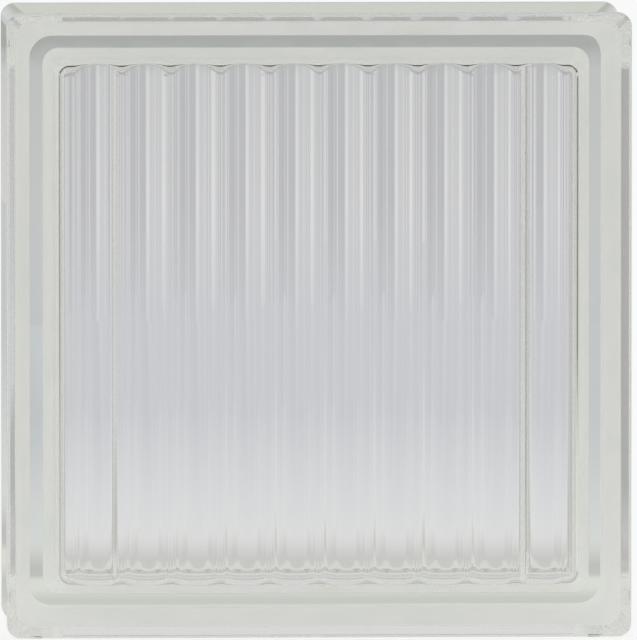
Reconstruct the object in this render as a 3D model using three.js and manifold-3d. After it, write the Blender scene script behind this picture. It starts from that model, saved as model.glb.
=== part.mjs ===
// A hollow glass building block, such as is laid in mortar to make a wall that lets light through.
// It is two pressed-glass half shells, fused together along a seam at the middle of the block's depth.
// Each half is a shallow square dish: a flat face with upright reeds pressed into its inner side, drafted
// side walls, and a lip round the face. The lip has a flat rim, and its back slopes down into the mortar
// groove in two steps, a bevel and a steeper flank.
// Millimetres, +Z up. X runs along the wall, Y through it, with the front face towards -Y.
// The origin is at the middle of the bottom, on the surface that the block stands on.
import * as THREE from "three";
import { mergeVertices } from "three/addons/utils/BufferGeometryUtils.js";
import Module from "manifold-3d";

// ---- Driving sizes ----

// The block as it is laid
const FACE_SIZE = 190; // width and height across the rims
const BLOCK_DEPTH = 80; // from face to face

// The lip round each face, and the bevel behind its rim
const RIM_WIDTH = 5.5; // from the face back to where the bevel starts
const LIP_CORNER_RADIUS = 4.2; // the four corners of the face
const FACE_EDGE_RADIUS = 1.2; // round edge between the face and the rim
const RIM_BACK_RADIUS = 1; // round edge between the rim and the bevel
const BEVEL_RUN = 6.5; // how far along the depth the bevel takes
const BEVEL_DROP = 2.7; // how far the bevel drops from the rim
const KNEE_RADIUS = 7; // round edge between the bevel and the flank

// The mortar groove between the two lips
const GROOVE_DEPTH = 7.3; // how far the side wall lies back from the rim
const FLANK_RUN = 8.4; // how far along the depth the flank takes
const GROOVE_FILLET = 4.5; // hollow corner between the flank and the side wall
const GROOVE_CORNER_RADIUS = 7; // the four corners of the side wall

// The glass
const WALL_THICKNESS = 4; // side wall, at the seam
const FACE_THICKNESS = 6.5; // face, in the valleys between the reeds
const WALL_DRAFT = 4.6; // how far each inner wall leans in from the seam to the floor
const CAVITY_CORNER_RADIUS = 5; // the four corners of the hollow, at the seam
const FLOOR_CORNER_RADIUS = 3.5; // the same corners, at the floor
const FLOOR_FILLET = 2.5; // hollow corner where the floor turns up into the walls

// The fused seam, which squeezes out a low bead on both sides of the wall
const BEAD_HEIGHT = 0.8;
const BEAD_HALF_WIDTH = 2;

// The reeds, rounded ribs that run from the bottom to the top of the floor
const REED_PITCH = 15;
const REED_HEIGHT = 2.4; // from the valleys to the crests
const REED_VALLEY_RADIUS = 2.5; // the crests' radius follows from this

// ---- Fineness of the facets ----

const CORNER_STEPS = 8; // facets in each corner of the square
const PROFILE_STEPS = 5; // facets in each round of a section
const REED_STEPS = 6; // facets from a valley to a crest

// ---- Working allowances ----

const CUT_PAST = 1; // how far a cutting or filling solid runs on past the surface it meets
const MERGE_WITHIN = 1e-4; // points closer than this are one

// ---- Worked out from the driving sizes ----

const halfDepth = BLOCK_DEPTH / 2;
const lipHalf = FACE_SIZE / 2;
const grooveHalf = lipHalf - GROOVE_DEPTH;
const cavityHalf = grooveHalf - WALL_THICKNESS;
const floorHalf = cavityHalf - WALL_DRAFT;
const floorDepth = halfDepth - FACE_THICKNESS;
const reedCount = Math.floor((2 * floorHalf) / REED_PITCH);

const wasm = await Module();
wasm.setup();

// ---- Sections and outlines ----

// The points of a section through corners [along, across, radius], each corner rounded to its radius.
function roundedSection(corners) {
  const at = ([along, across]) => new THREE.Vector2(along, across);
  const path = new THREE.CurvePath();
  let from = at(corners[0]);
  for (let i = 1; i < corners.length; i++) {
    const corner = at(corners[i]);
    const radius = corners[i][2] ?? 0;
    if (!radius) {
      path.add(new THREE.LineCurve(from, corner));
      from = corner;
      continue;
    }
    const back = at(corners[i - 1]).sub(corner).normalize();
    const onward = at(corners[i + 1]).sub(corner).normalize();
    const halfAngle = Math.acos(back.dot(onward)) / 2;
    const setback = radius / Math.tan(halfAngle);
    const start = corner.clone().addScaledVector(back, setback);
    const end = corner.clone().addScaledVector(onward, setback);
    const towards = back.clone().add(onward).normalize();
    const centre = corner.clone().addScaledVector(towards, radius / Math.sin(halfAngle));
    path.add(new THREE.LineCurve(from, start));
    path.add(arcBetween(centre, start, end));
    from = end;
  }
  return path.curves.flatMap((curve, i) => {
    const steps = curve instanceof THREE.EllipseCurve ? PROFILE_STEPS : 1;
    return curve.getPoints(steps).slice(i ? 1 : 0);
  });
}

// The shorter arc about a centre, from one point to another.
function arcBetween(centre, start, end) {
  const a = start.clone().sub(centre);
  const b = end.clone().sub(centre);
  const clockwise = a.cross(b) < 0;
  const radius = a.length();
  return new THREE.EllipseCurve(centre.x, centre.y, radius, radius, a.angle(), b.angle(), clockwise);
}

// The points of a square with round corners, counter-clockwise about the block's axis.
function roundedSquare(half, radius) {
  const middle = half - radius;
  const points = [];
  for (let corner = 0; corner < 4; corner++) {
    const start = (corner * Math.PI) / 2;
    const centre = new THREE.Vector2(middle, middle).rotateAround(new THREE.Vector2(), start);
    const arc = new THREE.EllipseCurve(centre.x, centre.y, radius, radius, start, start + Math.PI / 2);
    points.push(...arc.getPoints(CORNER_STEPS));
  }
  return points;
}

// ---- Solids ----

// A solid skinned over square rings {depth, half, radius}, from the first to the last, with flat ends.
function loft(rings) {
  const outlines = rings.map(({ half, radius }) => roundedSquare(half, radius));
  const around = outlines[0].length;
  const positions = outlines.flatMap((outline, i) => outline.flatMap((p) => [p.x, p.y, rings[i].depth]));
  const index = [];
  for (let ring = 0; ring + 1 < rings.length; ring++)
    for (let i = 0; i < around; i++) {
      const next = (i + 1) % around;
      const [a, b] = [ring * around + i, ring * around + next];
      const [c, d] = [a + around, b + around];
      index.push(a, b, d, a, d, c);
    }
  const last = (rings.length - 1) * around;
  for (let i = 1; i + 1 < around; i++) {
    index.push(0, i + 1, i);
    index.push(last, last + i, last + i + 1);
  }
  const geometry = new THREE.BufferGeometry();
  geometry.setAttribute("position", new THREE.Float32BufferAttribute(positions, 3));
  geometry.setIndex(index);
  return geometry;
}

// The closed mesh of a three.js geometry, as a solid that can be joined and cut.
function solidOf(geometry) {
  const bare = geometry.clone();
  bare.deleteAttribute("normal");
  bare.deleteAttribute("uv");
  const merged = mergeVertices(bare, MERGE_WITHIN);
  return new wasm.Manifold(
    new wasm.Mesh({
      numProp: 3,
      vertProperties: merged.attributes.position.array,
      triVerts: new Uint32Array(merged.index.array),
    }),
  );
}

// A solid's surface, as a three.js geometry.
function geometryOf(solid) {
  const mesh = solid.getMesh();
  const geometry = new THREE.BufferGeometry();
  geometry.setAttribute("position", new THREE.BufferAttribute(mesh.vertProperties, 3));
  geometry.setIndex(new THREE.BufferAttribute(mesh.triVerts, 1));
  return geometry;
}

// ---- The half shell, with its depth measured from the seam ----

// The outside: the seam's bead, the side wall, the flank and bevel up to the rim, and the flat face.
function outsideOfHalf() {
  const rimEnd = halfDepth - RIM_WIDTH;
  const bevelEnd = rimEnd - BEVEL_RUN;
  const section = roundedSection([
    [0, grooveHalf + BEAD_HEIGHT],
    [BEAD_HALF_WIDTH / 2, grooveHalf + BEAD_HEIGHT, BEAD_HEIGHT],
    [BEAD_HALF_WIDTH, grooveHalf, BEAD_HEIGHT],
    [bevelEnd - FLANK_RUN, grooveHalf, GROOVE_FILLET],
    [bevelEnd, lipHalf - BEVEL_DROP, KNEE_RADIUS],
    [rimEnd, lipHalf, RIM_BACK_RADIUS],
    [halfDepth, lipHalf, FACE_EDGE_RADIUS],
    [halfDepth, 0],
  ]);
  section.pop();
  // The corners' radius goes from the side wall's to the lip's as the section rises out of the groove,
  // and the face's round edge takes off the same from the corners as from the sides.
  const cornerRadius = ({ x: depth, y: half }) => {
    if (depth > halfDepth - FACE_EDGE_RADIUS) return LIP_CORNER_RADIUS - (lipHalf - half);
    const rise = (half - grooveHalf) / GROOVE_DEPTH;
    return THREE.MathUtils.lerp(GROOVE_CORNER_RADIUS, LIP_CORNER_RADIUS, rise);
  };
  return loft(section.map((p) => ({ depth: p.x, half: p.y, radius: cornerRadius(p) })));
}

// The hollow, before the reeds: from past the seam, by the bead inside, along the drafted walls, to the floor.
function hollowOfHalf() {
  const draftTo = (depth) => cavityHalf - (WALL_DRAFT * depth) / floorDepth;
  const section = roundedSection([
    [-CUT_PAST, cavityHalf - BEAD_HEIGHT],
    [BEAD_HALF_WIDTH / 2, cavityHalf - BEAD_HEIGHT, BEAD_HEIGHT],
    [BEAD_HALF_WIDTH, draftTo(BEAD_HALF_WIDTH), BEAD_HEIGHT],
    [floorDepth, floorHalf, FLOOR_FILLET],
    [floorDepth, 0],
  ]);
  section.pop();
  const cornerRadius = ({ x: depth, y: half }) => {
    const lean = THREE.MathUtils.clamp(depth / floorDepth, 0, 1);
    const along = THREE.MathUtils.lerp(CAVITY_CORNER_RADIUS, FLOOR_CORNER_RADIUS, lean);
    return along - (draftTo(depth) - half);
  };
  return loft(section.map((p) => ({ depth: p.x, half: p.y, radius: cornerRadius(p) })));
}

// The reeds as one bar of glass: a wave of tangent arcs over a flat back, drawn out from bottom to top.
function reedBar() {
  const length = 2 * floorHalf + 2 * CUT_PAST;
  const steepest = 2 * Math.atan((2 * REED_HEIGHT) / REED_PITCH);
  const crestRadius = REED_PITCH / 2 / Math.sin(steepest) - REED_VALLEY_RADIUS;
  const valleyHeight = REED_VALLEY_RADIUS;
  const crestHeight = REED_HEIGHT - crestRadius;
  const outline = [];
  const addArc = (x, y, radius, from, to, clockwise) => {
    const steps = Math.max(2, Math.round((REED_STEPS * radius) / (crestRadius + REED_VALLEY_RADIUS)));
    const arc = new THREE.EllipseCurve(x, y, radius, radius, from, to, clockwise);
    outline.push(...arc.getPoints(2 * steps).slice(outline.length ? 1 : 0));
  };
  const up = Math.PI / 2;
  for (let i = 0; i < reedCount; i++) {
    const crest = (i - (reedCount - 1) / 2) * REED_PITCH;
    const [valley, nextValley] = [crest - REED_PITCH / 2, crest + REED_PITCH / 2];
    if (i === 0) addArc(valley, valleyHeight, REED_VALLEY_RADIUS, -up, -up + steepest, false);
    addArc(crest, crestHeight, crestRadius, up + steepest, up - steepest, true);
    const last = i === reedCount - 1;
    const turn = last ? -up : -up + steepest;
    addArc(nextValley, valleyHeight, REED_VALLEY_RADIUS, -up - steepest, turn, false);
  }
  const edge = (reedCount * REED_PITCH) / 2;
  outline.push(new THREE.Vector2(edge, -CUT_PAST), new THREE.Vector2(-edge, -CUT_PAST));
  const bar = new THREE.ExtrudeGeometry(new THREE.Shape(outline), { depth: length, bevelEnabled: false, steps: 1 });
  // The wave's height is turned to point from the floor back to the seam, and the bar's length to run upright.
  bar.translate(0, 0, -length / 2);
  bar.rotateX(-Math.PI / 2);
  return bar.translate(0, 0, floorDepth);
}

function halfShell() {
  const hollow = solidOf(hollowOfHalf()).subtract(solidOf(reedBar()));
  return geometryOf(solidOf(outsideOfHalf()).subtract(hollow));
}

// ---- The block ----

const glass = new THREE.MeshStandardMaterial({
  name: "pressed_glass",
  color: 0xd9e0da,
  roughness: 0.03,
  metalness: 0,
  transparent: true,
  opacity: 0.35,
});

// A half is turned so that its face is upright, and the back half is the front one turned round.
function placedHalf(name, geometry, turn) {
  const half = new THREE.Mesh(geometry, glass);
  half.name = name;
  half.rotation.x = Math.PI / 2;
  const turned = new THREE.Group();
  turned.rotation.z = turn;
  turned.position.z = lipHalf;
  turned.add(half);
  return turned;
}

const shell = halfShell();
const block = new THREE.Group();
block.add(placedHalf("front_half", shell, 0));
block.add(placedHalf("back_half", shell, Math.PI));

export default block;
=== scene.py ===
"""A hollow glass building block, dressed: one fused glass body with reeds inside both faces.

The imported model's two half shells stay for collision. What shows is one mesh of the same block: its outer
skin and the skin of the hollow, with no wall at the seam, because the two halves are melted together there.
Metres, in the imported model's frame: X along the wall, Y through it with the front face at -Y, Z up.
"""
import math

import bpy
import numpy as np
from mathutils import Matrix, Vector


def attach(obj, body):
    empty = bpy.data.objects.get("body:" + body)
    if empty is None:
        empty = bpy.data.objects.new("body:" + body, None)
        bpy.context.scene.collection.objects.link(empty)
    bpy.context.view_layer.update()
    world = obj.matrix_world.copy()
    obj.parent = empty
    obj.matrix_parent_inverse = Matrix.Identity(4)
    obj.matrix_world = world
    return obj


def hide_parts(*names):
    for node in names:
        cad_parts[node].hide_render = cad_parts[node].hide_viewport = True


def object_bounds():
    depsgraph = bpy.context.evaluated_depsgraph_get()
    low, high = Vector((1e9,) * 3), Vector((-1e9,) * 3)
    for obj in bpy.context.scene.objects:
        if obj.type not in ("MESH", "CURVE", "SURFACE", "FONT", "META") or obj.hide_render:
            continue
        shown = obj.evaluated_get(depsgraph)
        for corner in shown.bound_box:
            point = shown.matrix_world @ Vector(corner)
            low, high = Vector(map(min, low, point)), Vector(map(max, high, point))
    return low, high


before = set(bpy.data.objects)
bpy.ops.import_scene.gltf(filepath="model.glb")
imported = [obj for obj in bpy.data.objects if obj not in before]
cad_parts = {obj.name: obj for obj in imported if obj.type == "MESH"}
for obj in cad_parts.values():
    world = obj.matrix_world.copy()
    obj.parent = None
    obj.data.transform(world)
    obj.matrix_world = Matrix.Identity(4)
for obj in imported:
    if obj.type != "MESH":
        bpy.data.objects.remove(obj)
cad_low, cad_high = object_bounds()

MM = 0.001

# ---- Sizes, in millimetres ----

# The block as laid, from the frame
FACE_SIZE = (cad_high.x - cad_low.x) / MM
BLOCK_DEPTH = (cad_high.y - cad_low.y) / MM

# The lip round each face: a narrow rim, then a bevel that the coating leaves bare
RIM_WIDTH = 5.5
LIP_CORNER_RADIUS = 4.2
FACE_EDGE_RADIUS = 1.2
RIM_BACK_RADIUS = 1.0
BEVEL_RUN = 6.5
BEVEL_DROP = 2.7
KNEE_RADIUS = 7.0

# The mortar groove between the lips
GROOVE_DEPTH = 7.3
FLANK_RUN = 8.4
GROOVE_FILLET = 4.5
GROOVE_CORNER_RADIUS = 7.0

# The glass
WALL_THICKNESS = 4.0
FACE_THICKNESS = 6.5
WALL_DRAFT = 4.6
CAVITY_CORNER_RADIUS = 5.0
FLOOR_CORNER_RADIUS = 3.5
FLOOR_FILLET = 2.5

# The coating sprayed on the groove, from this far below the rim
COAT_DROP = 2.85

# The fused seam's bead, outside and in
BEAD_HEIGHT = 0.8
BEAD_HALF_WIDTH = 2.0

# The reeds
REED_PITCH = 15.0
REED_COUNT = 10
REED_HEIGHT = 2.4
REED_VALLEY_RADIUS = 2.5
REED_END_BLEND = 0.5

# The faint waviness that fire-polishing leaves on the glass
WAVE_LENGTH = 16.67
WAVE_DEPTH = 0.01

# The sprayed coating's thicker patches
PATCH_LENGTH = 12.5

# ---- Colours ----

WHITE = "#ffffff"
CARD_COLOUR = "#f2f2f2"

# The coating, where it is thin and where it is thick
COAT_COLOUR = "#fdfef9"
COAT_THICK_COLOUR = "#f8faf4"

# What the whole depth of the solid edge does to light
SOLID_GLASS_TINT = "#f2f6f2"

# Across the backdrop, from left to right
BACKDROP_FOLDS = [
    (0.08, "#cacacc"),
    (0.13, "#e2e2e4"),
    (0.22, "#e2e2e4"),
    (0.27, "#b9b9bd"),
    (0.42, "#b9b9bd"),
    (0.46, "#e4e4e6"),
    (0.52, "#cccccf"),
    (0.60, "#cccccf"),
    (0.65, "#dcdcde"),
    (0.69, "#b9b9bd"),
    (0.95, "#b9b9bd"),
    (1.0, "#dcdcde"),
]

# Along the table, from the block's feet to the far end, with the block's shadow painted in as the darker
# bands near its feet
TABLE_TONES = [
    (0.03, "#e8e8e4"),
    (0.065, "#cfcfca"),
    (0.09, "#cfcfca"),
    (0.12, "#e4e4de"),
    (0.142, "#e4e4de"),
    (0.155, "#c6c6c3"),
    (0.18, "#c6c6c3"),
    (0.225, "#dadad9"),
    (0.25, "#dedfdf"),
    (0.37, "#d9dadd"),
    (0.50, "#d2d3d7"),
    (0.64, "#c9cad0"),
]

# The table in the block's own shade, the rest of the room, and a painted shade for what is mirrored inside
# the glass
SHADED_TONE = "#d6d6d0"
GROUND_TONE = "#a4a5a5"
HORIZON_TONE = "#c9cad0"
UPPER_TONE = "#aeafae"
WALL_TONE = "#d8d8d8"
# painted shade: what is mirrored inside the glass is shown in this darker tone
MIRRORED_SHADE_TONE = "#a3a4a3"
DARK_TONE = "#202020"

# ---- Shares and amounts of light ----

# The part of the coating's light that comes in from outside
COAT_LETS_IN = 0.72

# How much of the background's whiteness comes from the card itself
WHITE_SHARE = 0.85

# The tent's light from the sides and from the top
SIDE_LIGHT = 1.0
TOP_LIGHT = 0.6

# How strongly the table mirrors the backdrop's folds
FOLDS_IN_TABLE = 0.25

# How much of the upper tone shows in the cloth's lower part
UPPER_AT_FIRST = 0.2

# How much painted shade darkens what is mirrored inside the glass, near the block and from there on
MIRRORED_SHADE_NEAR = 0.65

# How dark it is past the table's left end and past its right end
END_DARKNESS = (0.35, 0.72)

# ---- The studio, in metres ----

# How far the card runs on every side, and how far of it glass sees behind the block
CARD_REACH = 4.7
TABLE_END = 1.5

# The camera: its distance from the face, and how far it stands left of the block's middle and above it
CAMERA_DISTANCE = 4.9
CAMERA_LEFT = 0.2
CAMERA_ABOVE = 0.31

# What it aims at, and the height that it takes in
AIM_X = -0.0003
AIM_Z = 0.0968
SEEN_HEIGHT = 0.1943

# ---- Where one tone gives way to the next: the last place of the one and the first of the other ----

# Along the table, as shares of the way to its end
SHADE_EDGE = (0.16, 0.145)
# a painted pool of light right under the block, which lights the coating
PAINTED_LIGHT_POOL_EDGE = (0.07, 0.045)
# where the painted shade on what is mirrored inside the glass grows to full
MIRRORED_SHADE_EDGE = (0.25, 0.4)
MIRRORED_FOLDS_EDGE = (0.3, 1.0)

# Across the table and the tent, from the middle
MIDDLE_EDGE = (0.35, 0.25)
SIDES = (-0.3, 0.3)
FOLDS_ACROSS = (-0.5, 0.5)

# Towards the table's two ends, squared: the slope away from straight back, and the distance
END_SLOPE = (3.0, 6.0)
END_DISTANCE = (0.6, 2.0)

# Up the tent, as the height of a ray's direction
GROUND_EDGE = (-0.085, -0.1)
CLOTH_EDGE = (-0.0635, -0.055)
UPPER_EDGE = (-0.057, -0.047)
UPPER_FULL_EDGE = (-0.0475, -0.0455)
FOLDS_EDGE = (-0.03, -0.01)
WALL_EDGE = (0.1, 0.25)
MIRRORED_EDGE = (0.3, 0.15)
CEILING_EDGE = (0.35, 0.5)
TOP_EDGE = (0.1, 1.0)

# On the coating, in the noise's own measure
PATCH_EDGE = (0.4, 0.7)

# ---- Worked out ----

HALF_DEPTH = BLOCK_DEPTH / 2
LIP_HALF = FACE_SIZE / 2
GROOVE_HALF = LIP_HALF - GROOVE_DEPTH
CAVITY_HALF = GROOVE_HALF - WALL_THICKNESS
FLOOR_HALF = CAVITY_HALF - WALL_DRAFT
FLOOR_DEPTH = HALF_DEPTH - FACE_THICKNESS

# ---- Fineness of the mesh ----

CORNER_STEPS = 12  # quads round each upright corner, an even number
ACROSS_STEPS = 240  # quads across the reeds
UPRIGHT_STEPS = 32  # quads along the reeds
OUTER_STEPS = 24  # quads along each side of the outer skin
OUTER_ARC_STEPS = 12  # quads along each arc of the outer section
HOLLOW_ARC_STEPS = 8  # quads along each arc of the hollow's section
OUTER_SPACING = 4.0  # longest quad between the outer skin's rings
HOLLOW_SPACING = 2.0  # longest quad between the hollow's rings
FACE_MARGIN = 2.0  # flat of each outer face that belongs to the rings
FLOOR_MARGIN = 1.2  # where the hollow's rings end, in fillet radii from the wall
SMALLEST_RADIUS = 0.6  # of a ring's corners
WELD_WITHIN = 1e-6  # in metres


# ---- Paths and sections ----


def square_path(across_steps, upright_steps):
    """Centres and outward normals of a round-cornered square's path, from the lower right corner.

    The path runs counter-clockwise. A path point at half-size h and corner radius r is
    (h - r) * centre + r * normal. On a corner the centre stays at (+-1, +-1) and the normal turns through a
    right angle. On a side the normal stays and the centre slides from corner to corner. Upright sides are
    sampled more closely near their ends.
    """
    turn = np.linspace(0, np.pi / 2, CORNER_STEPS + 1)
    across = np.linspace(-1, 1, across_steps + 1)[1:-1]
    upright = np.sin(np.linspace(-np.pi / 2, np.pi / 2, upright_steps + 1))[1:-1]
    centres, normals = [], []
    for quarter in range(4):
        start = -np.pi / 2 + quarter * np.pi / 2
        corner = np.array([[1, -1], [1, 1], [-1, 1], [-1, -1]][quarter], float)
        centres.append(np.tile(corner, (len(turn), 1)))
        normals.append(np.column_stack([np.cos(start + turn), np.sin(start + turn)]))
        slide = upright if quarter % 2 == 0 else across
        ahead = np.array([[0, 1], [-1, 0], [0, -1], [1, 0]][quarter], float)
        side = corner * np.abs(ahead[::-1])
        centres.append(side + slide[:, None] * ahead)
        normals.append(np.tile(side, (len(slide), 1)))
    return np.concatenate(centres), np.concatenate(normals)


def rounded(corners, steps):
    """A section through corners (along, across, radius), each corner turned into a tangent arc.

    An arc's centre lies on the corner's bisector, at the radius over the sine of half the corner's angle.
    """
    points = [np.array([corners[0][:2]], float)]
    for before, corner, after in zip(corners, corners[1:], corners[2:]):
        at = np.array(corner[:2], float)
        back = np.array(before[:2]) - at
        ahead = np.array(after[:2]) - at
        back /= np.linalg.norm(back)
        ahead /= np.linalg.norm(ahead)
        half_angle = math.acos(np.dot(back, ahead)) / 2
        radius = corner[2]
        centre = at + (back + ahead) / np.linalg.norm(back + ahead) * radius / math.sin(half_angle)
        first = at + back * radius / math.tan(half_angle) - centre
        last = at + ahead * radius / math.tan(half_angle) - centre
        sweep = math.atan2(first[0] * last[1] - first[1] * last[0], np.dot(first, last))
        angle = math.atan2(first[1], first[0]) + sweep * np.linspace(0, 1, steps + 1)
        points.append(centre + radius * np.column_stack([np.cos(angle), np.sin(angle)]))
    points.append(np.array([corners[-1][:2]], float))
    return np.concatenate(points)


def refined(points, longest):
    """The same section with its long stretches cut evenly, so that none is longer than the given length."""
    pieces = []
    for start, end in zip(points, points[1:]):
        count = max(1, int(np.ceil(np.linalg.norm(end - start) / longest)))
        pieces.append(start + (end - start) * np.arange(count)[:, None] / count)
    return np.concatenate(pieces + [points[-1:]])


def reed_height(across):
    """The reeds' height above the valleys, at a distance across the face from the middle.

    Crest arc and valley arc meet tangentially; the steepest slope is the one that carries the height over
    half a pitch. Past the last reed the height is nought.
    """
    steepest = 2 * math.atan(2 * REED_HEIGHT / REED_PITCH)
    crest_radius = REED_PITCH / 2 / math.sin(steepest) - REED_VALLEY_RADIUS
    shift = 0 if REED_COUNT % 2 else REED_PITCH / 2
    from_crest = np.abs((across - shift + REED_PITCH / 2) % REED_PITCH - REED_PITCH / 2)
    from_valley = REED_PITCH / 2 - from_crest
    crest = REED_HEIGHT - crest_radius + np.sqrt(np.maximum(crest_radius**2 - from_crest**2, 0))
    valley = REED_VALLEY_RADIUS - np.sqrt(np.maximum(REED_VALLEY_RADIUS**2 - from_valley**2, 0))
    height = np.where(from_valley < REED_VALLEY_RADIUS * math.sin(steepest), valley, crest)
    return np.where(np.abs(across) < REED_COUNT * REED_PITCH / 2, height, 0)


def with_reeds(across, depth):
    """The hollow's depth once the reeds stand on its floor: the higher of reed and wall, with a soft join.

    Where the two differ by less than the join's width, the higher one rises by a quarter of the width times
    the square of what is left of it, so that one runs into the other without an edge.
    """
    wall = FLOOR_DEPTH - depth
    reed = reed_height(across)
    blend = REED_END_BLEND * np.clip(wall / REED_END_BLEND, 0, 1) + 1e-9
    overlap = np.maximum(blend - np.abs(wall - reed), 0) / blend
    return FLOOR_DEPTH - (np.maximum(wall, reed) + overlap**2 * blend / 4)


# ---- The two skins ----


def carried(section, radii, centres, normals):
    """A section carried round the square path: an array (ring, path point, 3) in millimetres.

    A ring's points are (half-size - radius) * centre + radius * normal, at the section's depth along Y.
    """
    half = section[:, 1][:, None, None]
    radius = radii[:, None, None]
    plan = (half - radius) * centres[None] + radius * normals[None]
    depth = np.broadcast_to(section[:, 0][:, None], plan.shape[:2])
    return np.stack([plan[..., 0], depth, plan[..., 1]], axis=-1)


def ring_quads(rings, around, flip):
    """Quads between neighbouring rings of a closed stack."""
    ring, step = np.meshgrid(np.arange(rings - 1), np.arange(around), indexing="ij")
    a = ring * around + step
    b = ring * around + (step + 1) % around
    quads = np.stack([a, b, b + around, a + around], axis=-1).reshape(-1, 4)
    return quads[:, ::-1] if flip else quads


def outer_skin():
    """The outside, from the front face's edge over lip, flank, groove and bead to the back face's edge."""
    centres, normals = square_path(OUTER_STEPS, OUTER_STEPS)
    bevel_end = HALF_DEPTH - RIM_WIDTH - BEVEL_RUN
    half_section = rounded(
        [
            (HALF_DEPTH, LIP_HALF - FACE_EDGE_RADIUS - FACE_MARGIN, 0),
            (HALF_DEPTH, LIP_HALF, FACE_EDGE_RADIUS),
            (HALF_DEPTH - RIM_WIDTH, LIP_HALF, RIM_BACK_RADIUS),
            (bevel_end, LIP_HALF - BEVEL_DROP, KNEE_RADIUS),
            (bevel_end - FLANK_RUN, GROOVE_HALF, GROOVE_FILLET),
            (BEAD_HALF_WIDTH, GROOVE_HALF, BEAD_HEIGHT),
            (BEAD_HALF_WIDTH / 2, GROOVE_HALF + BEAD_HEIGHT, BEAD_HEIGHT),
            (0, GROOVE_HALF + BEAD_HEIGHT, 0),
        ],
        OUTER_ARC_STEPS,
    )
    half_section = refined(half_section, OUTER_SPACING)
    edge = half_section[:, 0] > HALF_DEPTH - FACE_EDGE_RADIUS
    rise = (half_section[:, 1] - GROOVE_HALF) / GROOVE_DEPTH
    radii = GROOVE_CORNER_RADIUS + (LIP_CORNER_RADIUS - GROOVE_CORNER_RADIUS) * rise
    radii = np.where(edge, LIP_CORNER_RADIUS - (LIP_HALF - half_section[:, 1]), radii)
    section = np.concatenate([half_section * [-1, 1], half_section[-2::-1]])
    radii = np.concatenate([radii, radii[-2::-1]])
    rings = carried(section, radii, centres, normals)
    around = len(centres)
    quads = ring_quads(len(section), around, flip=True)
    first = np.arange(around)
    last = (len(section) - 1) * around + np.arange(around)[::-1]
    middle = (section[1:] + section[:-1]) / 2
    behind = np.abs(middle[:, 0]) < HALF_DEPTH - RIM_WIDTH
    below = middle[:, 1] < LIP_HALF - COAT_DROP
    coated = np.repeat(behind & below, around)
    return rings.reshape(-1, 3), quads, coated, [first, last]


def draft_to(depth):
    """The hollow's half-size at a depth from the seam: less the draft, in proportion to the depth."""
    return CAVITY_HALF - WALL_DRAFT * depth / FLOOR_DEPTH


def hollow_section():
    """The hollow's section and corner radii, from the seam's bead along the wall to the flat of the floor.

    The corner radius changes evenly with depth, less what the section stands in from the wall.
    """
    section = rounded(
        [
            (0, CAVITY_HALF - BEAD_HEIGHT, 0),
            (BEAD_HALF_WIDTH / 2, CAVITY_HALF - BEAD_HEIGHT, BEAD_HEIGHT),
            (BEAD_HALF_WIDTH, draft_to(BEAD_HALF_WIDTH), BEAD_HEIGHT),
            (FLOOR_DEPTH, FLOOR_HALF, FLOOR_FILLET),
            (FLOOR_DEPTH, FLOOR_HALF - FLOOR_FILLET * FLOOR_MARGIN, 0),
        ],
        HOLLOW_ARC_STEPS,
    )
    section = refined(section, HOLLOW_SPACING)
    lean = np.clip(section[:, 0] / FLOOR_DEPTH, 0, 1)
    radii = CAVITY_CORNER_RADIUS + (FLOOR_CORNER_RADIUS - CAVITY_CORNER_RADIUS) * lean
    radii = np.maximum(radii - (draft_to(section[:, 0]) - section[:, 1]), SMALLEST_RADIUS)
    return section, radii


def patch_inside(ring):
    """A grid that fills the inside of a ring.

    Each point is the sum of the two blends of opposite sides, less the blend of the four corners.
    """
    half_corner = CORNER_STEPS // 2
    across = ACROSS_STEPS + CORNER_STEPS
    upright = UPRIGHT_STEPS + CORNER_STEPS
    ring = np.roll(ring, -half_corner, axis=0)
    right = ring[: upright + 1]
    top = ring[upright : upright + across + 1][::-1]
    left = ring[upright + across : 2 * upright + across + 1][::-1]
    bottom = np.concatenate([ring[2 * upright + across :], ring[:1]])
    u = np.linspace(0, 1, across + 1)[:, None, None]
    v = ((right[:, 1] - right[0, 1]) / (right[-1, 1] - right[0, 1]))[None, :, None]
    sides = (1 - u) * left[None] + u * right[None]
    ends = (1 - v) * bottom[:, None] + v * top[:, None]
    left_corners = (1 - v) * left[0] + v * left[-1]
    right_corners = (1 - v) * right[0] + v * right[-1]
    return sides + ends - (1 - u) * left_corners - u * right_corners


def grid_quads(rows, columns, flip):
    """Quads of a grid whose points are numbered row by row."""
    row, column = np.meshgrid(np.arange(rows - 1), np.arange(columns - 1), indexing="ij")
    a = row * columns + column
    quads = np.stack([a, a + 1, a + columns + 1, a + columns], axis=-1).reshape(-1, 4)
    return quads[:, ::-1] if flip else quads


def hollow_skin():
    """The hollow's skin, facing into the hollow: a reeded floor, the wall to the seam, and both mirrored."""
    centres, normals = square_path(ACROSS_STEPS, UPRIGHT_STEPS)
    section, radii = hollow_section()
    half = carried(section, radii, centres, normals)
    floor = patch_inside(half[-1][:, [0, 2]])
    floor = np.stack([floor[..., 0], np.full(floor.shape[:2], FLOOR_DEPTH), floor[..., 1]], axis=-1)
    half[..., 1] = with_reeds(half[..., 0], half[..., 1])
    floor[..., 1] = with_reeds(floor[..., 0], floor[..., 1])
    points, quads = [], []
    count = 0
    for side in (-1, 1):
        for part, faces in (
            (half, ring_quads(half.shape[0], half.shape[1], flip=side < 0)),
            (floor, grid_quads(floor.shape[0], floor.shape[1], flip=side > 0)),
        ):
            points.append((part * [1, side, 1]).reshape(-1, 3))
            quads.append(faces + count)
            count += len(points[-1])
    return np.concatenate(points), np.concatenate(quads)


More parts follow.
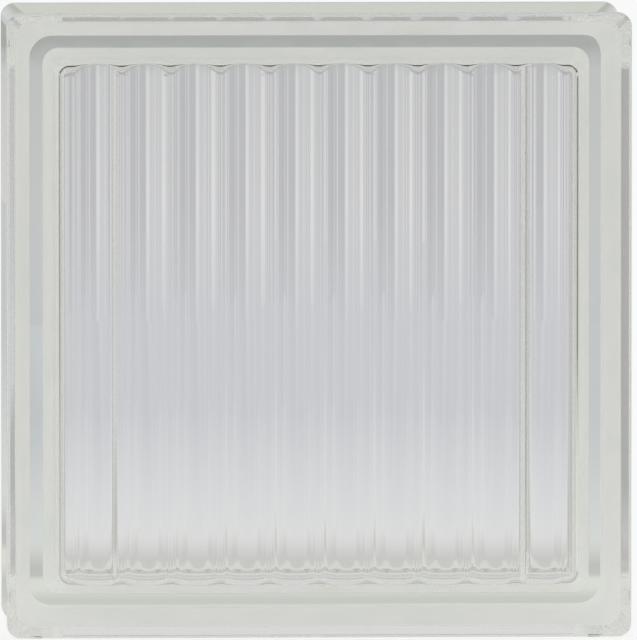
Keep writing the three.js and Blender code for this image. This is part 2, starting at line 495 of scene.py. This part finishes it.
def make_block():
    """The block as one glass body: the outer skin, two flat faces and the hollow's skin, in one mesh."""
    outer, outer_quads, coated, faces = outer_skin()
    hollow, hollow_quads = hollow_skin()
    points = np.concatenate([outer, hollow])
    middle = np.array([(cad_low.x + cad_high.x) / 2, (cad_low.y + cad_high.y) / 2, cad_low.z]) / MM
    points = (points + middle + [0, 0, LIP_HALF]) * MM
    quads = np.concatenate([outer_quads, hollow_quads + len(outer)])
    mesh = bpy.data.meshes.new("fused_glass_block")
    mesh.from_pydata(points.tolist(), [], quads.tolist() + [face.tolist() for face in faces])
    mesh.polygons.foreach_set("use_smooth", np.ones(len(mesh.polygons), bool))
    slots = np.zeros(len(mesh.polygons), np.int32)
    slots[: len(coated)] = coated
    mesh.polygons.foreach_set("material_index", slots)
    mesh.update()
    block = bpy.data.objects.new("fused_glass_block", mesh)
    bpy.context.scene.collection.objects.link(block)
    weld = block.modifiers.new("weld", "WELD")
    weld.merge_threshold = WELD_WITHIN
    return block


# ---- Node trees ----

# Sockets of a Mix node that mixes colours
SHARE, FIRST, SECOND, MIXED = 0, 6, 7, 2


def colour(hex_code):
    """An sRGB hex value as a linear colour with full opacity."""
    parts = [int(hex_code[i : i + 2], 16) / 255 for i in (1, 3, 5)]
    return [c / 12.92 if c <= 0.04045 else ((c + 0.055) / 1.055) ** 2.4 for c in parts] + [1.0]


def add_node(tree, kind, inputs, output=None, **settings):
    """Add a node, with inputs that are values or other nodes' outputs to link.

    It gives the output that is asked for, or the node.
    """
    node = tree.nodes.new("ShaderNode" + kind)
    for name, value in settings.items():
        setattr(node, name, value)
    for name, value in inputs.items():
        if isinstance(value, bpy.types.NodeSocket):
            tree.links.new(value, node.inputs[name])
        else:
            node.inputs[name].default_value = value
    return node if output is None else node.outputs[output]


def set_stops(ramp, stops):
    """Give a colour ramp its (position, hex) stops, and return its colour output."""
    elements = ramp.color_ramp.elements
    while len(elements) < len(stops):
        elements.new(0.5)
    for element, (position, code) in zip(elements, stops):
        element.position = position
        element.color = colour(code)
    return ramp.outputs["Color"]


def new_material(name):
    """A material with an empty node tree, and the tree."""
    material = bpy.data.materials.new(name)
    material.use_nodes = True
    material.node_tree.nodes.clear()
    return material, material.node_tree


# ---- The block's two finishes ----


def pressed_glass():
    """Soda-lime glass, pressed in a mould and fire-polished: clear and glossy, with a faint waviness."""
    material, tree = new_material("pressed_soda_lime_glass")
    place = add_node(tree, "TexCoord", {}, "Object")
    waves = {"Vector": place, "Scale": 1 / (WAVE_LENGTH * MM), "Detail": 2.0}
    height = add_node(tree, "TexNoise", waves, "Fac")
    bump = {"Height": height, "Strength": 1.0, "Distance": WAVE_DEPTH * MM}
    glass = {
        "Base Color": colour(WHITE),
        "Roughness": 0.0,
        "IOR": 1.52,
        "Transmission Weight": 1.0,
        "Normal": add_node(tree, "Bump", bump, "Normal"),
    }
    add_node(tree, "OutputMaterial", {"Surface": add_node(tree, "BsdfPrincipled", glass, "BSDF")})
    return material


def edge_coating():
    """The off-white plastic coat sprayed on the groove, so that mortar grips it.

    It is matt, and thin enough to glow. The spray lies unevenly: its patches are a little thicker, and so
    darker and greener.
    """
    material, tree = new_material("sprayed_edge_coating")
    place = add_node(tree, "TexCoord", {}, "Object")
    patches = {"Vector": place, "Scale": 1 / (PATCH_LENGTH * MM), "Detail": 3.0}
    spray = add_node(tree, "TexNoise", patches, "Fac")
    thick = add_node(tree, "MapRange", {0: spray, 1: PATCH_EDGE[0], 2: PATCH_EDGE[1]}, 0)
    tones = {SHARE: thick, FIRST: colour(COAT_COLOUR), SECOND: colour(COAT_THICK_COLOUR)}
    coat = add_node(tree, "Mix", tones, MIXED, data_type="RGBA")
    front = add_node(tree, "BsdfDiffuse", {"Color": coat}, "BSDF")
    behind = add_node(tree, "BsdfTranslucent", {"Color": coat}, "BSDF")
    surface = add_node(tree, "MixShader", {0: COAT_LETS_IN, 1: front, 2: behind}, 0)
    add_node(tree, "OutputMaterial", {"Surface": surface})
    return material


# ---- What glass shows of the studio ----


def shown_by_glass(path, tree):
    """1 on rays that glass sends on, and 0 on all others."""
    sent = {0: path.outputs["Is Transmission Ray"], 1: path.outputs["Is Glossy Ray"]}
    return add_node(tree, "Math", sent, 0, operation="MAXIMUM")


def unscattered(path, tree):
    """1 on rays that no matt surface has scattered, and 0 on all others."""
    depths = {0: path.outputs["Diffuse Depth"], 1: path.outputs["Is Diffuse Ray"]}
    scattered = add_node(tree, "Math", depths, 0, operation="ADD")
    return add_node(tree, "Math", {0: scattered, 1: 0.5}, 0, operation="LESS_THAN")


def mirrored_inside(path, tree):
    """1 on unscattered rays that have been reflected inside the glass, and 0 on all others."""
    reflected = add_node(tree, "Math", {0: path.outputs["Glossy Depth"], 1: 0.5}, 0, operation="GREATER_THAN")
    depth = {0: path.outputs["Transmission Depth"], 1: 0.5}
    refracted = add_node(tree, "Math", depth, 0, operation="GREATER_THAN")
    both = add_node(tree, "Math", {0: reflected, 1: refracted}, 0, operation="MULTIPLY")
    return add_node(tree, "Math", {0: both, 1: unscattered(path, tree)}, 0, operation="MULTIPLY")


def solid_only(path, tree):
    """1 on unscattered rays that crossed the block's solid edge and never its hollow, and 0 on all others."""
    depth = {0: path.outputs["Transmission Depth"], 1: 2.5}
    few = add_node(tree, "Math", depth, 0, operation="LESS_THAN")
    return add_node(tree, "Math", {0: few, 1: unscattered(path, tree)}, 0, operation="MULTIPLY")


def through_solid_glass(path, tree, tone):
    """A tone, darker and greener where it is seen through the block's solid edge."""
    tint = {SHARE: solid_only(path, tree), FIRST: tone, SECOND: colour(SOLID_GLASS_TINT)}
    return add_node(tree, "Mix", tint, MIXED, data_type="RGBA", blend_type="MULTIPLY")


def laid_over(tree, tone, other, value, edge, low=0.0, high=1.0, only=None):
    """A tone that gives way to another as a value crosses an edge, from a low share of it to a high one.

    With only, a second factor says on which rays or where this happens.
    """
    share = add_node(tree, "MapRange", {0: value, 1: edge[0], 2: edge[1], 3: low, 4: high}, 0)
    if only is not None:
        share = add_node(tree, "Math", {0: share, 1: only}, 0, operation="MULTIPLY")
    return add_node(tree, "Mix", {SHARE: share, FIRST: tone, SECOND: other}, MIXED, data_type="RGBA")


def table_as_seen(path, tree):
    """The card as glass shows it: a table, light near the block but for bands of the block's painted shadow,
    and greyer and bluer far off; light that the coating scatters sees a painted pool of light right under the
    block.
    """
    place = add_node(tree, "TexCoord", {}, "Object")
    parts = add_node(tree, "SeparateXYZ", {0: place})
    across, back = parts.outputs["X"], parts.outputs["Y"]
    away = add_node(tree, "MapRange", {0: back, 1: 0.0, 2: TABLE_END}, 0)
    tone = set_stops(add_node(tree, "ValToRGB", {0: away}), TABLE_TONES)
    mirrored = mirrored_inside(path, tree)

    # the table faintly mirrors the backdrop's folds
    towards = add_node(tree, "Math", {0: across, 1: back}, 0, operation="DIVIDE")
    along = add_node(tree, "MapRange", {0: towards, 1: FOLDS_ACROSS[0], 2: FOLDS_ACROSS[1]}, 0)
    folds = set_stops(add_node(tree, "ValToRGB", {0: along}), BACKDROP_FOLDS)
    tone = laid_over(tree, tone, folds, away, MIRRORED_FOLDS_EDGE, 0.0, FOLDS_IN_TABLE)

    # through the hollow, the near part is seen in the block's own shade
    rays = {0: unscattered(path, tree), 1: solid_only(path, tree)}
    crossed = add_node(tree, "Math", rays, 0, operation="SUBTRACT")
    tone = laid_over(tree, tone, colour(SHADED_TONE), away, SHADE_EDGE, only=crossed)

    # painted light: for the light that the coating scatters, the part of the table right under the block is a
    # white pool
    below = add_node(tree, "MapRange", {0: away, 1: PAINTED_LIGHT_POOL_EDGE[0], 2: PAINTED_LIGHT_POOL_EDGE[1]}, 0)
    below = add_node(tree, "Math", {0: below, 1: unscattered(path, tree)}, 0, operation="SUBTRACT")
    tone = add_node(tree, "Mix", {SHARE: below, FIRST: tone, SECOND: colour(WHITE)}, MIXED, data_type="RGBA")

    # painted shade: what is mirrored inside the glass is shown darker, but not far to the sides
    middle = add_node(tree, "MapRange", {0: across, 1: MIDDLE_EDGE[0], 2: MIDDLE_EDGE[1]}, 0)
    middle = add_node(tree, "Math", {0: middle, 1: mirrored}, 0, operation="MULTIPLY")
    tone = laid_over(tree, tone, colour(MIRRORED_SHADE_TONE), away, MIRRORED_SHADE_EDGE, MIRRORED_SHADE_NEAR, 1.0, only=middle)
    tone = through_solid_glass(path, tree, tone)

    # the room darkens towards the table's two ends, which only rays mirrored inside the glass come from
    aside = add_node(tree, "Math", {0: across, 1: across}, 0, operation="MULTIPLY")
    steep = add_node(tree, "Math", {0: towards, 1: towards}, 0, operation="MULTIPLY")
    ends = add_node(tree, "MapRange", {0: steep, 1: END_SLOPE[0], 2: END_SLOPE[1]}, 0)
    ends = add_node(tree, "Math", {0: ends, 1: mirrored}, 0, operation="MULTIPLY")
    side = {0: across, 1: SIDES[0], 2: SIDES[1], 3: END_DARKNESS[0], 4: END_DARKNESS[1]}
    side = add_node(tree, "MapRange", side, 0)
    ends = add_node(tree, "Math", {0: ends, 1: side}, 0, operation="MULTIPLY")
    return laid_over(tree, tone, colour(DARK_TONE), aside, END_DISTANCE, only=ends)


def backdrop_as_seen(path, tree, across, height):
    """The tent as glass shows it: grey-blue cloth in folds, a paler wall above it and a dark top."""
    mirrored = mirrored_inside(path, tree)
    along = add_node(tree, "MapRange", {0: across, 1: FOLDS_ACROSS[0], 2: FOLDS_ACROSS[1]}, 0)
    folds = set_stops(add_node(tree, "ValToRGB", {0: along}), BACKDROP_FOLDS)
    upper = colour(UPPER_TONE)
    tone = laid_over(tree, colour(HORIZON_TONE), folds, height, CLOTH_EDGE, FOLDS_IN_TABLE, 1.0)
    tone = laid_over(tree, tone, upper, height, UPPER_EDGE, 0.0, UPPER_AT_FIRST)
    tone = laid_over(tree, tone, upper, height, UPPER_FULL_EDGE)
    tone = laid_over(tree, tone, folds, height, FOLDS_EDGE)
    tone = laid_over(tree, tone, colour(WALL_TONE), height, WALL_EDGE)
    # past the tent's top the room is dark, and the solid edge alone gathers rays from there
    tone = laid_over(tree, tone, colour(DARK_TONE), height, CEILING_EDGE, only=solid_only(path, tree))
    tone = laid_over(tree, tone, colour(GROUND_TONE), height, GROUND_EDGE)
    # painted shade: what is mirrored inside the glass is shown darker, but not far to the sides
    middle = add_node(tree, "MapRange", {0: across, 1: MIDDLE_EDGE[0], 2: MIDDLE_EDGE[1]}, 0)
    middle = add_node(tree, "Math", {0: middle, 1: mirrored}, 0, operation="MULTIPLY")
    tone = laid_over(tree, tone, colour(MIRRORED_SHADE_TONE), height, MIRRORED_EDGE, only=middle)
    return through_solid_glass(path, tree, tone)


# ---- Studio ----


def floor_finish():
    """Pale card: matt, and white but for the block's shadow. Glass shows it as a table."""
    material, tree = new_material("pale_card_floor")
    path = add_node(tree, "LightPath", {})
    matt = {"Base Color": colour(CARD_COLOUR), "Roughness": 0.8, "Specular IOR Level": 0.2}
    card = add_node(tree, "BsdfPrincipled", matt, "BSDF")
    # the camera sees mostly the white of paper, and for the rest what light and shadow make of the card
    white = add_node(tree, "Emission", {"Color": colour(WHITE), "Strength": 1.0}, 0)
    is_camera = {0: path.outputs["Is Camera Ray"], 1: WHITE_SHARE}
    share = add_node(tree, "Math", is_camera, 0, operation="MULTIPLY")
    plain = add_node(tree, "MixShader", {0: share, 1: card, 2: white}, 0)
    table = add_node(tree, "Emission", {"Color": table_as_seen(path, tree), "Strength": 1.0}, 0)
    surface = add_node(tree, "MixShader", {0: shown_by_glass(path, tree), 1: plain, 2: table}, 0)
    add_node(tree, "OutputMaterial", {"Surface": surface})
    return material


def make_floor():
    """The pale floor, in two: glass sees it as far as the table's end, and the camera sees it run on."""
    for name, near, far in (("floor", -CARD_REACH, TABLE_END), ("floor_beyond", TABLE_END, CARD_REACH)):
        mesh = bpy.data.meshes.new(name)
        corners = [(x, y, 0) for x, y in ((-1, near), (1, near), (1, far), (-1, far))]
        mesh.from_pydata([(x * CARD_REACH, y, z) for x, y, z in corners], [], [(0, 1, 2, 3)])
        finish = floor_finish()
        mesh.materials.append(finish)
        floor = bpy.data.objects.new(name, mesh)
        bpy.context.scene.collection.objects.link(floor)
        if near == TABLE_END:
            # only the camera sees this part, and it lights nothing
            finish.cycles.emission_sampling = "NONE"
            for rays in ("diffuse", "glossy", "transmission", "shadow"):
                setattr(floor, "visible_" + rays, False)


def make_world():
    """A light tent: white light from all sides, a little less from above, on a white background."""
    world = bpy.data.worlds.new("light_tent")
    bpy.context.scene.world = world
    world.use_nodes = True
    tree = world.node_tree
    tree.nodes.clear()
    path = add_node(tree, "LightPath", {})
    direction = add_node(tree, "TexCoord", {}, "Generated")
    parts = add_node(tree, "SeparateXYZ", {0: direction})
    across, height = parts.outputs["X"], parts.outputs["Z"]
    levels = {0: height, 1: TOP_EDGE[0], 2: TOP_EDGE[1], 3: SIDE_LIGHT, 4: TOP_LIGHT}
    light = add_node(tree, "MapRange", levels, 0)
    plain = {SHARE: path.outputs["Is Camera Ray"], FIRST: light, SECOND: colour(WHITE)}
    plain = add_node(tree, "Mix", plain, MIXED, data_type="RGBA")
    rays = {0: shown_by_glass(path, tree), 1: unscattered(path, tree)}
    pictured = add_node(tree, "Math", rays, 0, operation="MULTIPLY")
    tones = {SHARE: pictured, FIRST: plain, SECOND: backdrop_as_seen(path, tree, across, height)}
    seen = add_node(tree, "Mix", tones, MIXED, data_type="RGBA")
    tent = add_node(tree, "Background", {"Color": seen, "Strength": 1.0}, 0)
    add_node(tree, "OutputWorld", {"Surface": tent})


def make_camera():
    """A long lens, nearly head-on, a little left of the block's middle and above it."""
    data = bpy.data.cameras.new("camera")
    camera = bpy.data.objects.new("camera", data)
    bpy.context.scene.collection.objects.link(camera)
    middle = (cad_low.z + cad_high.z) / 2
    camera.location = (-CAMERA_LEFT, cad_low.y - CAMERA_DISTANCE, middle + CAMERA_ABOVE)
    aim = np.array([AIM_X, cad_low.y, AIM_Z]) - np.array(camera.location)
    tilt = math.pi / 2 + math.atan2(aim[2], math.hypot(aim[0], aim[1]))
    turn = -math.atan2(aim[0], aim[1])
    camera.rotation_euler = (tilt, 0, turn)
    data.sensor_width = 36
    data.lens = data.sensor_width * float(np.linalg.norm(aim)) / SEEN_HEIGHT
    data.dof.use_dof = False
    bpy.context.scene.camera = camera


# ---- The scene ----

block = make_block()
block.data.materials.append(pressed_glass())
block.data.materials.append(edge_coating())
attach(block, "root")
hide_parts("front_half", "back_half")
make_floor()
make_world()
make_camera()

scene = bpy.context.scene
scene.view_settings.view_transform = "Standard"
scene.cycles.max_bounces = 32
scene.cycles.transmission_bounces = 32
scene.cycles.glossy_bounces = 16
scene.cycles.diffuse_bounces = 12
